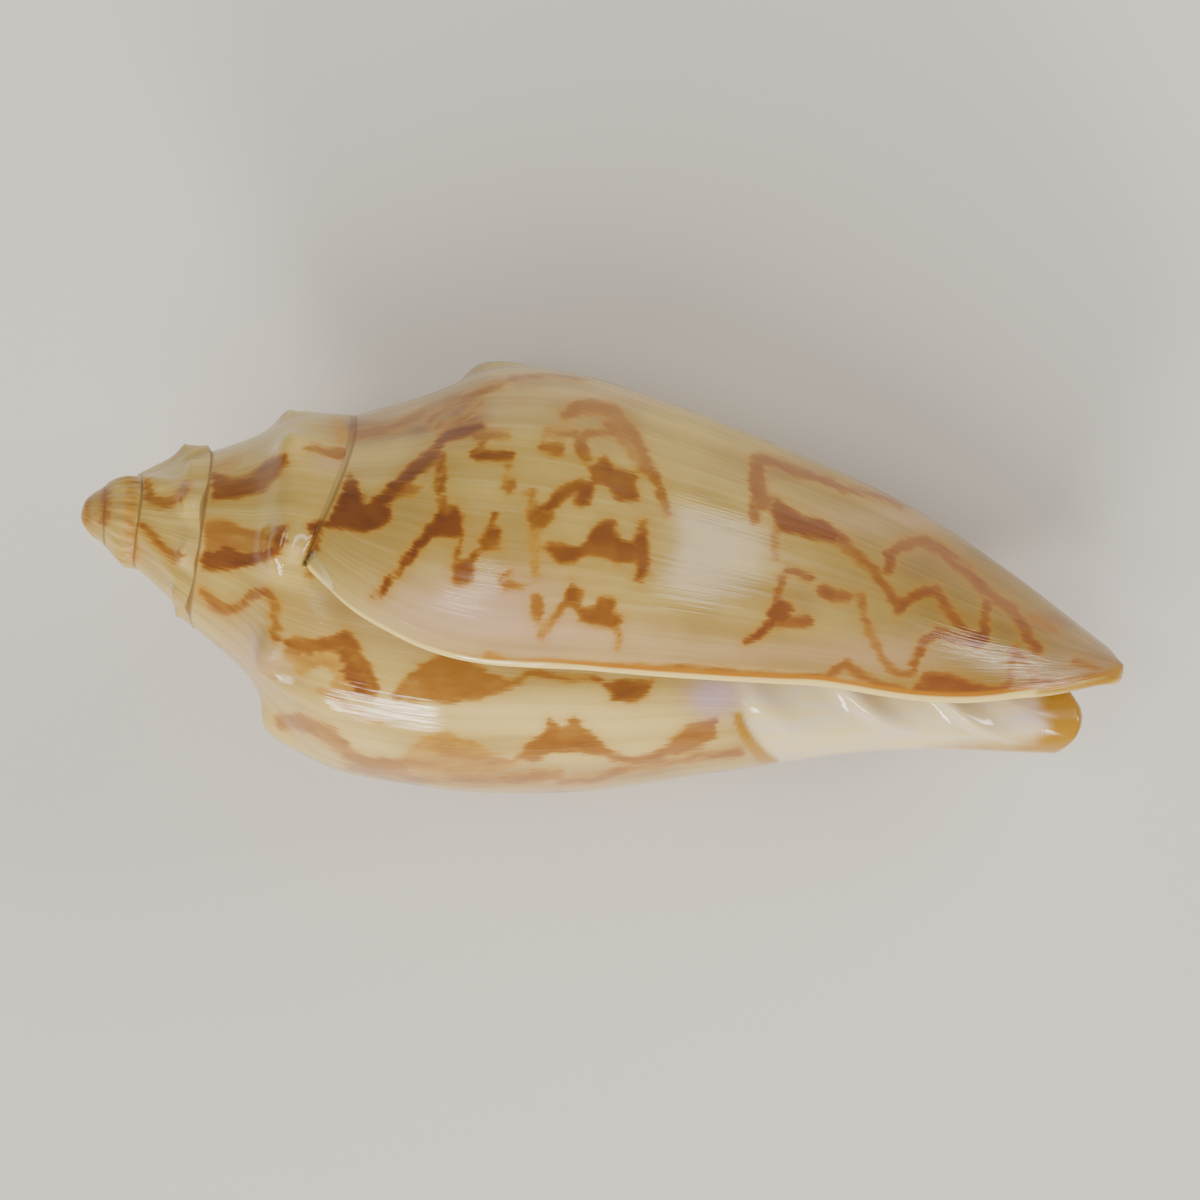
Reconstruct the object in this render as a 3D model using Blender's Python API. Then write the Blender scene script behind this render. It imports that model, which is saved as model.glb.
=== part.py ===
"""Bat volute shell: one naturally grown spiral shell with a long open mouth."""
import math

import bmesh
import bpy
import numpy as np

MM = 0.001

# Angles are degrees round the long axis. 0 is the side of the outer lip, 90 the back of the shell,
# 180 the far side, 270 the belly, and each further 360 is one turn back towards the tip.
COLUMN_STEP = 8.0
COLUMNS_PER_TURN = 45
LIP_ANGLE = -4.0
TURN_COLUMNS = 214
MOUTH_DEPTH_COLUMNS = 31
RAMP_PLACES = (0.0, 0.5, 1.0, 1.5, 1.8, 2.05, 2.3, 2.65, 3.0)
BODY_ROWS = 27
BODY_ROW_CROWDING = 0.85

# Wall and rim, in millimetres.
WALL = 1.7
LIP_WALL = 1.1
LIP_FEATHER_DEG = 24.0
CORNER_FEATHER = 7.0
SEAM_SETBACK = 2.6
WALL_START = 0.75
RIM_ROUND = 0.45
RIM_ROUND_SHARE = 0.45
PILLAR_DOME = 1.3
PILLAR_INSET = 0.6
SLOPE_STEP = 0.002

# Knobs on the shoulder: where each numbered knob sits and how far it stands out.
KNOB_ANGLES = (108.0, 270.0, 450.0, 630.0, 810.0, 950.0)
KNOB_NUMBERS = (0.0, 4.0, 8.0, 13.0, 18.0, 22.0)
KNOB_HEIGHTS = ((55, 0.0), (84, 0.6), (108, 2.0), (149, 3.1), (189, 4.0), (230, 3.4), (270, 1.9),
                (360, 1.8), (450, 1.5), (630, 0.9), (810, 0.5), (950, 0.2), (1010, 0.0))
KNOB_SHARPNESS = 1.6
KNOB_LAST_SPACING = 41.0
KNOB_BACK_REACH = 1.4
KNOB_CREST_REACH = 2.2
KNOB_RIB_ANGLES = (325.0, 348.0)
KNOB_RIB_REACH = 8.0
KNOB_RIB_SHARE = 0.35
KNOB_LEAN_DEG_PER_MM = 1.1
KNOB_FULL_SIZE_AT = 20.0
KNOB_LEAST_SIZE = 0.15

# Folds winding up the pillar: where each crosses the near belly side, and their shape.
FOLD_PLACES = (58.5, 67.0, 75.5, 82.5)
FOLD_HEIGHTS = (0.7, 1.1, 1.2, 0.8)
FOLD_ANGLE = 325.0
FOLD_PITCH = 52.0
FOLD_WIDTH = 1.7
FOLD_START = 285.0
FOLD_FULL = 322.0
FOLD_DEEP_DEG = 120.0
FOLD_DEEP_LOSS = 0.35

# How far the lip edge is turned from its seam, by the distance along the axis.
LIP_PLACES = (19.8, 22.2, 28.8, 46.4, 63.6, 81.0, 86.0, 90.4)
LIP_TURNS = (0.0, -10.0, -16.0, -13.0, -8.0, 0.0, 13.0, 40.0)
LIP_FADE_DEG = 70.0

# The seam between the turns: angle, distance along the axis, distance from the axis.
SEAM = (
    (-4, 19.8, 13.3), (48, 21.7, 12.8), (90, 21.0, 12.4), (180, 16.0, 10.1), (270, 11.2, 8.4),
    (360, 10.4, 7.6), (450, 9.5, 6.9), (540, 7.4, 5.6), (630, 5.2, 4.3), (720, 4.7, 4.0),
    (810, 4.1, 3.7), (900, 3.1, 3.4), (990, 2.3, 3.1), (1080, 1.6, 2.6), (1170, 1.0, 2.1),
    (1260, 0.4, 1.2), (1346, -0.3, 0.0),
)

# The hollow ramp and the shoulder above the seam: angle, ramp point, shoulder point.
SHOULDER = (
    (-4, 24.0, 16.0, 30.0, 17.9), (48, 26.0, 15.2, 31.5, 18.2), (90, 27.0, 15.5, 32.4, 18.9),
    (180, 20.8, 12.4, 26.0, 16.6), (270, 15.4, 10.9, 19.4, 14.3), (320, 14.8, 10.3, 18.5, 13.4),
    (356, 14.4, 9.8, 17.9, 13.0), (405, 13.6, 9.4, 16.8, 12.3), (450, 12.7, 8.8, 15.8, 11.1),
    (540, 9.9, 7.1, 12.8, 9.3), (630, 7.7, 5.8, 9.9, 7.2), (720, 7.2, 5.4, 9.3, 6.9),
    (810, 6.0, 4.9, 7.8, 6.1), (900, 4.4, 4.4, 5.8, 5.2), (990, 3.0, 3.6, 4.1, 4.1),
    (1080, 2.2, 3.2, 3.3, 3.8), (1170, 1.4, 2.8, 2.7, 3.35), (1260, 0.6, 2.1, 1.5, 2.9),
    (1346, -0.2, 1.5, 0.6, 2.5), (1530, -0.3, 0.8, 0.1, 1.6), (1710, -0.3, 0.0, -0.3, 0.0),
)

# The body below the shoulder at each angle: five points along the axis with their distances from it.
BODY = (
    (-4, ((46, 18.5), (57, 16.4), (68, 13.2), (80, 9.4), (90.4, 5.2))),
    (42, ((46.5, 18.7), (58, 16.7), (68.6, 14.0), (80, 9.9), (90.5, 5.6))),
    (90, ((48, 18.8), (59.7, 16.8), (69.2, 14.5), (79.5, 10.4), (88.3, 6.0))),
    (170, ((44, 17.2), (56, 16.0), (66, 12.7), (76.5, 9.0), (84.5, 6.4))),
    (270, ((33, 17.9), (45.5, 15.8), (58, 11.4), (72, 6.9), (86.6, 4.2))),
    (320, ((30, 15.7), (43, 13.2), (56, 9.1), (71, 5.3), (87.9, 3.2))),
    (356, ((28, 13.1), (41, 10.8), (54, 7.3), (69, 4.4), (87.6, 2.4))),
    (405, ((29, 11.6), (40, 8.9), (52, 5.8), (68, 3.5), (86.4, 2.0))),
    (450, ((29.5, 10.4), (40, 7.6), (52, 4.7), (68, 2.9), (85.6, 1.8))),
    (540, ((26, 9.2), (38, 6.4), (51, 4.0), (67, 2.5), (85.0, 1.7))),
    (608, ((23, 8.6), (36, 6.0), (50, 3.7), (66, 2.4), (85.0, 1.6))),
)
SHOULDER_JOIN = ((-4, 36.0, 18.9), (90, 38.0, 19.7), (180, 31.0, 17.1), (270, 23.4, 16.9),
                 (320, 21.3, 14.8), (356, 19.8, 13.3))

# How the shell lies on the table: rolled on its far side, on two knobs and the body, in degrees.
REST_ROLL = -98.63
REST_PITCH = 5.77

SHELL_COLOUR = (0.78, 0.60, 0.38, 1.0)
SHELL_ROUGHNESS = 0.22


def ease(value):
    value = min(1.0, max(0.0, value))
    return value * value * (3.0 - 2.0 * value)


def curve(knots, points, place):
    """A smooth line through the points, read at one place along the knots."""
    knots = np.asarray(knots, float)
    points = np.asarray(points, float)
    place = min(max(place, knots[0]), knots[-1])
    gaps = np.diff(knots)
    shape = (len(gaps),) + (1,) * (points.ndim - 1)
    slopes = np.diff(points, axis=0) / gaps.reshape(shape)
    tangents = np.empty_like(points)
    tangents[0] = slopes[0]
    tangents[-1] = slopes[-1]
    for i in range(1, len(knots) - 1):
        tangents[i] = (slopes[i - 1] * gaps[i] + slopes[i] * gaps[i - 1]) / (gaps[i] + gaps[i - 1])
    i = min(int(np.searchsorted(knots, place, side="right")) - 1, len(gaps) - 1)
    t = (place - knots[i]) / gaps[i]
    h00 = (1 + 2 * t) * (1 - t) ** 2
    h10 = t * (1 - t) ** 2
    h01 = t * t * (3 - 2 * t)
    h11 = t * t * (t - 1)
    return (h00 * points[i] + h10 * gaps[i] * tangents[i]
            + h01 * points[i + 1] + h11 * gaps[i] * tangents[i + 1])


def column(rows, angle):
    """One row of a table of angles, read smoothly between its entries."""
    table = np.array(rows, float)
    return curve(table[:, 0], table[:, 1:], angle)


def seam(angle):
    return column(SEAM, angle)


def body_points(angle):
    angles = [entry[0] for entry in BODY]
    points = [entry[1] for entry in BODY]
    return curve(angles, points, angle)


def stations(angle):
    """The points that one section of the shell passes through, from the seam to the front end."""
    ramp = column(SHOULDER, angle)
    points = [seam(angle), ramp[:2], ramp[2:]]
    last = LIP_ANGLE + COLUMN_STEP * (COLUMNS_PER_TURN + MOUTH_DEPTH_COLUMNS)
    if angle < LIP_ANGLE + 360.0:
        points.append(column(SHOULDER_JOIN, angle))
    else:
        points.append(seam(angle - 360.0))
    if angle <= last + 0.01:
        points.extend(body_points(angle))
    return np.array(points)


def section_knots(points):
    steps = np.maximum(np.linalg.norm(np.diff(points, axis=0), axis=1), 1e-6)
    return np.concatenate(([0.0], np.cumsum(steps)))


def knob_rise(angle, along, shoulder):
    """How far the knobs and their low ribs stand out here."""
    if angle < KNOB_HEIGHTS[0][0] or angle > KNOB_HEIGHTS[-1][0]:
        return 0.0
    offset = along - shoulder
    size = max(shoulder / KNOB_FULL_SIZE_AT, KNOB_LEAST_SIZE)
    height = np.interp(angle, *zip(*KNOB_HEIGHTS))
    lean = KNOB_LEAN_DEG_PER_MM * max(offset, 0.0)
    number = np.interp(angle + lean, KNOB_ANGLES, KNOB_NUMBERS)
    if angle + lean < KNOB_ANGLES[0]:
        number = (angle + lean - KNOB_ANGLES[0]) / KNOB_LAST_SPACING
    pulse = (0.5 + 0.5 * math.cos(2.0 * math.pi * number)) ** KNOB_SHARPNESS
    back = KNOB_BACK_REACH * size
    crest = math.exp(-(offset / (back if offset < 0.0 else KNOB_CREST_REACH * size)) ** 2)
    rib = math.exp(-(offset / (back if offset < 0.0 else KNOB_RIB_REACH * size)) ** 2)
    first, last = KNOB_RIB_ANGLES
    if offset > 0.0:
        rib *= 1.0 - ease((angle - first) / (last - first))
    return height * pulse * (KNOB_RIB_SHARE * rib + (1.0 - KNOB_RIB_SHARE) * crest)


def fold_rise(angle, along):
    """How far the folds on the pillar stand out here."""
    strength = ease((angle - FOLD_START) / (FOLD_FULL - FOLD_START))
    if strength == 0.0:
        return 0.0
    rise = 0.0
    for place, height in zip(FOLD_PLACES, FOLD_HEIGHTS):
        middle = place - FOLD_PITCH * (angle - FOLD_ANGLE) / 360.0
        rise += height * math.exp(-((along - middle) / FOLD_WIDTH) ** 2)
    deep = ease((angle - FOLD_FULL) / FOLD_DEEP_DEG)
    return strength * rise * (1.0 - FOLD_DEEP_LOSS * deep)


def outer_point(angle, knots, points, place):
    """A point of the outer surface with its outward direction, in the plane of the section."""
    here = curve(knots, points, place)
    step = SLOPE_STEP * knots[-1]
    ahead = curve(knots, points, place + step)
    behind = curve(knots, points, place - step)
    run = ahead - behind
    length = max(math.hypot(run[0], run[1]), 1e-9)
    out = np.array([-run[1], run[0]]) / length
    rise = knob_rise(angle, here[0], points[2][0]) + fold_rise(angle, here[0])
    return here + out * rise, out


def turned(angle, along):
    """The real angle of a point, with the lip edge swept to its own line."""
    fade = 1.0 - ease((angle - LIP_ANGLE) / LIP_FADE_DEG)
    if fade == 0.0:
        return angle
    return angle + fade * float(curve(LIP_PLACES, LIP_TURNS, along))


def placed(angle, flat):
    """The section plane's point set into space."""
    turn = math.radians(angle)
    return (flat[0] * MM, -flat[1] * math.cos(turn) * MM, flat[1] * math.sin(turn) * MM)


def body_fraction(row):
    return (row / BODY_ROWS) ** BODY_ROW_CROWDING


class Shell:
    """Collects the corner points and faces of the shell."""

    def __init__(self):
        self.points = []
        self.faces = []

    def point(self, angle, flat):
        self.points.append(placed(angle, flat))
        return len(self.points) - 1

    def face(self, *corners):
        ring = [c for i, c in enumerate(corners) if c != corners[i - 1]]
        if len(set(ring)) >= 3:
            self.faces.append(ring)

    def strip(self, first, second):
        for i in range(len(first) - 1):
            self.face(first[i], first[i + 1], second[i + 1], second[i])


def build_shell():
    shell = Shell()
    tip = shell.point(0.0, SEAM[-1][1:])
    mouth_last = MOUTH_DEPTH_COLUMNS
    under_first = COLUMNS_PER_TURN
    under_last = COLUMNS_PER_TURN + MOUTH_DEPTH_COLUMNS
    upper = []
    lower = []
    inner = []
    profiles = []

    for i in range(TURN_COLUMNS + 1):
        angle = LIP_ANGLE + COLUMN_STEP * i
        points = stations(angle)
        profiles.append((angle, points, section_knots(points)))

    # The ramp and shoulder of every turn, from one seam to the next.
    for i, (angle, points, knots) in enumerate(profiles):
        ring = []
        for j, step in enumerate(RAMP_PLACES):
            if i == TURN_COLUMNS or (j == 0 and i >= TURN_COLUMNS - COLUMNS_PER_TURN):
                ring.append(tip)
                continue
            if step == RAMP_PLACES[-1] and i >= COLUMNS_PER_TURN:
                ring.append(upper[i - COLUMNS_PER_TURN][0])
                continue
            place = float(np.interp(step, range(4), knots[:4]))
            flat, out = outer_point(angle, knots, points, place)
            if j == 0:
                flat = points[0]
            ring.append(shell.point(turned(angle, flat[0]), flat))
        upper.append(ring)

    # The body of the last turn, running on under the lip as the inner wall and the pillar.
    for i in range(under_last + 1):
        angle, points, knots = profiles[i]
        behind = angle - 360.0 - LIP_ANGLE
        setback = SEAM_SETBACK * ease(behind / LIP_FEATHER_DEG) if i > under_first else 0.0
        start = knots[3] + setback
        ring = [upper[i][-1]] if i <= under_first else []
        for j in range(len(ring), BODY_ROWS + 1):
            place = start + (knots[-1] - start) * body_fraction(j)
            flat, out = outer_point(angle, knots, points, place)
            ring.append(shell.point(turned(angle, flat[0]), flat))
        lower.append(ring)

    # The inside face of the last turn, one wall thickness in, starting where it meets the pillar side.
    ramp_rows = len(RAMP_PLACES) - 1
    wall_rows = ramp_rows + BODY_ROWS
    for i in range(mouth_last + 1):
        angle, points, knots = profiles[i]
        under_angle, under_points, under_knots = profiles[i + COLUMNS_PER_TURN]
        feather = ease((angle - LIP_ANGLE) / LIP_FEATHER_DEG)
        setback = SEAM_SETBACK * feather
        crease, out = outer_point(under_angle, under_knots, under_points, under_knots[3] + setback)
        ring = []
        first = WALL_START * setback
        shift = None
        for j in range(wall_rows + 1):
            if j <= ramp_rows:
                place = float(np.interp(RAMP_PLACES[j], range(4), knots[:4]))
                place = first + (knots[3] - first) * place / knots[3]
            else:
                place = knots[3] + (knots[-1] - knots[3]) * body_fraction(j - ramp_rows)
            flat, out = outer_point(angle, knots, points, place)
            corner = 1.0 - (1.0 - feather) * (1.0 - ease(place / CORNER_FEATHER))
            thickness = (LIP_WALL + (WALL - LIP_WALL) * feather) * corner
            flat = flat - out * thickness
            if j == 0:
                shift = crease - flat
                ring.append(lower[i + COLUMNS_PER_TURN][0])
                continue
            flat = flat + shift * (1.0 - ease(j / ramp_rows)) ** 2
            ring.append(shell.point(turned(angle, flat[0]), flat))
        inner.append(ring)

    # Skin: every turn outside, then the mouth inside.
    for i in range(TURN_COLUMNS):
        shell.strip(upper[i], upper[i + 1])
    for i in range(under_last):
        shell.strip(lower[i], lower[i + 1])
    for i in range(mouth_last):
        shell.strip(inner[i + 1], inner[i])

    # The lip rim, rounded over by one row of middle points.
    outer_edge = upper[0] + lower[0][1:]
    inner_edge = inner[0]
    rim = [outer_edge[0]]
    for j in range(1, len(outer_edge)):
        a = np.array(shell.points[outer_edge[j]])
        b = np.array(shell.points[inner_edge[j]])
        back = np.array(shell.points[(upper[1] + lower[1][1:])[j]])
        away = (a - back) / max(np.linalg.norm(a - back), 1e-9)
        width = np.linalg.norm(a - b)
        middle = 0.5 * (a + b) + away * min(RIM_ROUND * MM, RIM_ROUND_SHARE * width)
        shell.points.append(tuple(middle))
        rim.append(len(shell.points) - 1)
    shell.strip(rim, outer_edge)
    shell.strip(inner_edge, rim)

    # The blind end of the mouth, deep inside.
    deep_outer = inner[mouth_last]
    deep_inner = lower[under_last]
    zip_rows(shell, deep_inner, deep_outer)

    # The open front end: the wall's rim, then the rounded end of the pillar.
    front = [ring[-1] for ring in lower]
    wall_front = [ring[-1] for ring in inner]
    front_rim = [rim[-1]]
    for i in range(1, mouth_last + 1):
        a = np.array(shell.points[front[i]])
        b = np.array(shell.points[wall_front[i]])
        width = np.linalg.norm(a - b)
        middle = 0.5 * (a + b) + np.array([min(RIM_ROUND * MM, RIM_ROUND_SHARE * width), 0.0, 0.0])
        shell.points.append(tuple(middle))
        front_rim.append(len(shell.points) - 1)
    shell.strip(front[:mouth_last + 1], front_rim)
    shell.strip(front_rim, wall_front)

    loop = front[mouth_last:] + [wall_front[mouth_last], front_rim[mouth_last]]
    corners = np.array([shell.points[c] for c in loop])
    centre = corners.mean(axis=0)
    halfway = []
    for c in loop:
        edge = np.array(shell.points[c])
        inset = centre + (edge - centre) * PILLAR_INSET
        inset[0] += (1.0 - PILLAR_INSET ** 2) * PILLAR_DOME * MM
        shell.points.append(tuple(inset))
        halfway.append(len(shell.points) - 1)
    centre[0] += PILLAR_DOME * MM
    shell.points.append(tuple(centre))
    middle = len(shell.points) - 1
    count = len(loop)
    for i in range(count):
        j = (i + 1) % count
        shell.face(loop[i], loop[j], halfway[j], halfway[i])
        shell.face(halfway[i], halfway[j], middle)
    return shell


def zip_rows(shell, first, second):
    """Joins two rows of points that have different counts and share their first point."""
    i = 0
    j = 0
    while i < len(first) - 1 or j < len(second) - 1:
        ahead_first = (i + 1) / (len(first) - 1)
        ahead_second = (j + 1) / (len(second) - 1)
        if j == len(second) - 1 or (i < len(first) - 1 and ahead_first <= ahead_second):
            shell.face(first[i], first[i + 1], second[j])
            i += 1
        else:
            shell.face(first[i], second[j + 1], second[j])
            j += 1


def rest_turn(points):
    """Turns the shell to how it lies and sets its lowest point on the ground."""
    roll = math.radians(REST_ROLL)
    pitch = math.radians(REST_PITCH)
    about_x = np.array([[1, 0, 0], [0, math.cos(roll), -math.sin(roll)],
                        [0, math.sin(roll), math.cos(roll)]])
    about_y = np.array([[math.cos(pitch), 0, math.sin(pitch)], [0, 1, 0],
                        [-math.sin(pitch), 0, math.cos(pitch)]])
    points = np.array(points) @ (about_y @ about_x).T
    low = points.min(axis=0)
    high = points.max(axis=0)
    return points - np.array([(low[0] + high[0]) / 2.0, (low[1] + high[1]) / 2.0, low[2]])


def main():
    for thing in list(bpy.data.objects):
        bpy.data.objects.remove(thing)
    shell = build_shell()
    points = rest_turn(shell.points)
    mesh = bpy.data.meshes.new("shell")
    mesh.from_pydata([tuple(p) for p in points], [], shell.faces)
    work = bmesh.new()
    work.from_mesh(mesh)
    bmesh.ops.recalc_face_normals(work, faces=work.faces[:])
    bmesh.ops.triangulate(work, faces=work.faces[:])
    work.to_mesh(mesh)
    work.free()
    for polygon in mesh.polygons:
        polygon.use_smooth = True
    thing = bpy.data.objects.new("shell", mesh)
    holder = bpy.data.collections.new("bat_volute_shell")
    bpy.context.scene.collection.children.link(holder)
    holder.objects.link(thing)
    material = bpy.data.materials.new("glossy_shell")
    material.use_nodes = True
    shader = material.node_tree.nodes["Principled BSDF"]
    shader.inputs["Base Color"].default_value = SHELL_COLOUR
    shader.inputs["Roughness"].default_value = SHELL_ROUGHNESS
    mesh.materials.append(material)


main()
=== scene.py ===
import math

import bmesh
import bpy
import numpy as np
from mathutils import Matrix, Quaternion, Vector, noise


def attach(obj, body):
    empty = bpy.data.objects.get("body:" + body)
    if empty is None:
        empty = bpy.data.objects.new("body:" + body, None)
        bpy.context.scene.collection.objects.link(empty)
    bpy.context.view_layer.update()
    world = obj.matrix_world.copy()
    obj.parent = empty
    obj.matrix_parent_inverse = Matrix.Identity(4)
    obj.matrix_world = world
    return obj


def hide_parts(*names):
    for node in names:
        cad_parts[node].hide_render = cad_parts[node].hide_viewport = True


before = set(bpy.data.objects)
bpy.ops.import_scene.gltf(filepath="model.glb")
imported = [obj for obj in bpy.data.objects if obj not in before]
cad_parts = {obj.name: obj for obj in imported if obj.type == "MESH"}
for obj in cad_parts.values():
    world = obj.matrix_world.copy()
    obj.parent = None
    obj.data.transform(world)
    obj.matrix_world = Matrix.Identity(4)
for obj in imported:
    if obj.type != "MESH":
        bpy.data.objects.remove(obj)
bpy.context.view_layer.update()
print("loaded the packed shell")

# The shell's own frame is in millimetres: +X runs from the tip to the front end, the side seen in
# the photograph is -Y and its back is +Z. Angles go round that axis in degrees: 0 is the side of the
# outer lip, 90 the back, 180 the far side, 270 the belly, and each 360 more is one turn to the tip.
photo = dict(
    tilt=11.4,            # how far the axis leans down to the right, degrees
    mmPerPixel=0.08679,
    tipPixel=(88, 508),   # where the axis starts
    size=1200,
    distance=900.0,       # mm from the lens to the axis
    sensor=36.0,
    clipping=(0.01, 10.0),   # metres
)
rest = dict(roll=-98.63, pitch=5.77)   # how the shell lies on the table, as in the solid


def turnAbout(axis, degrees):
    return np.array(Matrix.Rotation(math.radians(degrees), 3, axis))


restTurn = turnAbout("Y", rest["pitch"]) @ turnAbout("X", rest["roll"])
tilt = math.radians(photo["tilt"])
pictureRight = np.array([math.cos(tilt), 0.0, math.sin(tilt)])
pictureUp = np.array([-math.sin(tilt), 0.0, math.cos(tilt)])


def pixelToShell(x, y):
    # a pixel of the photograph, on the plane through the axis
    tipX, tipY = photo["tipPixel"]
    return ((x - tipX) * pictureRight - (y - tipY) * pictureUp) * photo["mmPerPixel"]


pictureCentre = pixelToShell(photo["size"] / 2, photo["size"] / 2)


def shellToPixel(spots):
    # where points of the shell show in the photograph, seen from the lens
    off = spots - pictureCentre
    scale = photo["distance"] / (photo["distance"] + off[:, 1]) / photo["mmPerPixel"]
    half = photo["size"] / 2
    return half + off @ pictureRight * scale, half - off @ pictureUp * scale


def addObject(name, data):
    thing = bpy.data.objects.new(name, data)
    bpy.context.scene.collection.objects.link(thing)
    return thing


# How the shell grew, in millimetres and degrees
growth = dict(
    lipAngle=-4.0,
    nearStep=1.15,         # degrees between growth columns on the side seen in the photograph
    farStep=3.0,
    nearFrom=262.0,        # the finely divided side runs from here round to nearTo
    nearTo=104.0,
    lastAngle=1706.0,
    mouthDepth=246.0,      # how far the hollow of the mouth winds in
    mouthMargin=4.0,       # sections go on this much deeper
    rampStops=(0.0, 0.4, 1.6, 2.3, 3.0),   # seam 0, ramp 1, shoulder 2, join 3
    rampRows=(5, 8, 7, 6),
    bodyRows=182,
    underRows=80,
    rowCrowding=0.9,
    wall=1.7,
    lipWall=0.8,
    leastWall=0.12,
    lipFeather=24.0,       # degrees from the lip to the full wall
    underFeather=12.0,     # degrees under the lip to the full inside colour
    cornerFeather=7.0,     # mm from the seam to the full lip wall
    seamSetback=2.6,
    wallStart=0.75,
    rimRound=0.45,         # how far a rim bulges, and the most as a share of its width
    rimShare=0.45,
    rimRows=(0.25, 0.5, 0.75),
    rimInside=0.4,         # how much a front rim and the pillar's end count as inside
    pillarInside=0.6,
    pillarRings=(0.85, 0.65, 0.4),
    pillarDome=1.3,
    pillarAngle=590.0,
    slopeStep=0.002,
)
farOff = 99.0              # stands for a gap too wide to matter


def divide(stops, counts):
    # places from the first stop up to the last, each stretch in its own number of steps
    stretches = zip(stops[:-1], stops[1:], counts)
    return np.concatenate([np.linspace(start, end, count + 1)[:-1] for start, end, count in stretches])


leastStep = 1e-6           # keep points that meet from dividing by nothing
leastLength = 1e-9
rampPlaces = np.append(divide(growth["rampStops"], growth["rampRows"]), growth["rampStops"][-1])

knobs = dict(
    angles=(108, 270, 450, 630, 810, 950),   # at these angles stand the knobs of these numbers
    numbers=(0, 4, 8, 13, 18, 22),
    heights=((55, 0.0), (84, 0.6), (108, 1.7), (149, 3.0), (189, 3.8), (230, 3.3), (270, 1.7),
             (360, 1.9), (450, 0.8), (630, 0.75), (810, 0.5), (950, 0.2), (1010, 0.0)),
    sharpness=2.4,
    lastSpacing=41.0,      # degrees between knobs nearer the lip
    backReach=1.4,
    crestReach=2.2,
    ribAngles=(325.0, 348.0),
    ribReach=8.0,
    ribShare=0.35,
    lean=1.1,              # degrees per mm below the shoulder
    fullSizeAt=20.0,       # mm of shoulder along the axis, where the reaches are full
    leastSize=0.15,
)
# the fine beaded ribs of the first turns: degrees apart, where they come and go, and mm
riblets = dict(spacing=17.0, start=640.0, end=1330.0, fade=120.0, height=0.22, reach=0.9)
folds = dict(
    places=(60.0, 69.3, 78.2, 85.5),
    heights=(0.5, 0.9, 1.0, 0.15),
    angle=325.0,           # where the places hold; a fold climbs one pitch a turn
    pitch=52.0,
    width=1.7,
    start=285.0,
    full=322.0,
    deepDegrees=120.0,
    deepLoss=0.35,
)
# how far the lip's edge is swept on, in degrees, at places along the axis
lip = dict(
    places=(19.8, 22.2, 28.8, 46.4, 63.6, 81.0, 86.0, 90.4),
    turns=(0.0, -6.0, -13.6, -11.0, -5.8, 2.6, 16.0, 42.0),
    fade=70.0,
)

# angle, distance along the axis, distance from the axis
seamLine = np.array((
    (-4, 19.8, 13.3), (48, 21.7, 12.8), (90, 21.0, 12.4), (180, 16.0, 10.1), (270, 11.2, 8.4),
    (360, 10.4, 7.6), (450, 9.5, 6.9), (540, 7.4, 5.6), (630, 5.2, 4.3), (720, 4.7, 4.0),
    (810, 4.1, 3.7), (900, 3.1, 3.4), (990, 2.3, 3.1), (1080, 1.6, 2.6), (1170, 1.0, 2.1),
    (1260, 0.4, 1.2), (1346, -0.3, 0.0)), float)
# angle, the hollow ramp's point, the shoulder's point
shoulderLine = np.array((
    (-4, 24.0, 16.0, 30.0, 17.9), (48, 26.0, 15.2, 31.5, 18.2), (90, 27.0, 15.5, 32.4, 18.9),
    (180, 20.8, 12.4, 26.0, 16.6), (270, 15.8, 11.0, 20.0, 14.5), (320, 14.8, 10.3, 18.5, 13.4),
    (356, 14.4, 9.8, 17.9, 13.0), (405, 13.6, 9.4, 16.8, 12.3), (450, 12.7, 8.8, 15.8, 11.1),
    (540, 9.9, 7.1, 12.8, 9.3), (630, 7.7, 5.8, 9.9, 7.2), (720, 7.2, 5.4, 9.3, 6.9),
    (810, 6.0, 4.9, 7.8, 6.1), (900, 4.4, 4.4, 5.8, 5.2), (990, 3.0, 3.6, 4.1, 4.1),
    (1080, 2.2, 3.1, 3.3, 3.7), (1170, 1.4, 2.6, 2.6, 3.15), (1260, 0.6, 1.8, 1.5, 2.4),
    (1346, -0.2, 1.2, 0.65, 1.95), (1530, -0.3, 0.6, 0.1, 1.2), (1710, -0.3, 0.0, -0.3, 0.0)), float)
shoulderJoin = np.array((
    (-4, 36.0, 18.9), (90, 38.0, 19.7), (180, 31.0, 17.1), (270, 23.4, 16.9),
    (320, 21.3, 14.8), (356, 19.8, 13.3)), float)
# angle, then five points of the body below the shoulder
bodyLine = np.array((
    (-4, 46, 18.5, 57, 16.4, 68, 13.2, 80, 9.4, 90.4, 5.2),
    (42, 46.5, 18.7, 58, 16.7, 68.6, 14.0, 80, 9.9, 90.5, 5.6),
    (90, 48, 18.8, 59.7, 16.8, 69.2, 14.5, 79.5, 10.4, 88.3, 6.0),
    (170, 44, 17.2, 56, 16.0, 66, 12.7, 76.5, 9.0, 84.5, 6.4),
    (270, 33, 17.9, 45.5, 15.8, 58, 11.4, 72, 6.7, 86.6, 4.2),
    (320, 30, 15.7, 43, 13.2, 56, 9.1, 71, 5.3, 87.9, 3.2),
    (356, 28, 13.1, 41, 10.8, 54, 7.3, 69, 4.4, 87.6, 2.4),
    (405, 29, 11.6, 40, 8.9, 52, 5.8, 68, 3.5, 86.4, 2.0),
    (450, 29.5, 10.4, 40, 7.6, 52, 4.7, 68, 2.9, 85.6, 1.8),
    (540, 26, 9.2, 38, 6.4, 51, 4.0, 67, 2.5, 85.0, 1.7),
    (608, 23, 8.6, 36, 6.0, 50, 3.7, 66, 2.4, 85.0, 1.6)), float)
bodyPoints = bodyLine[:, 1:].reshape(len(bodyLine), -1, 2)


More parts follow.
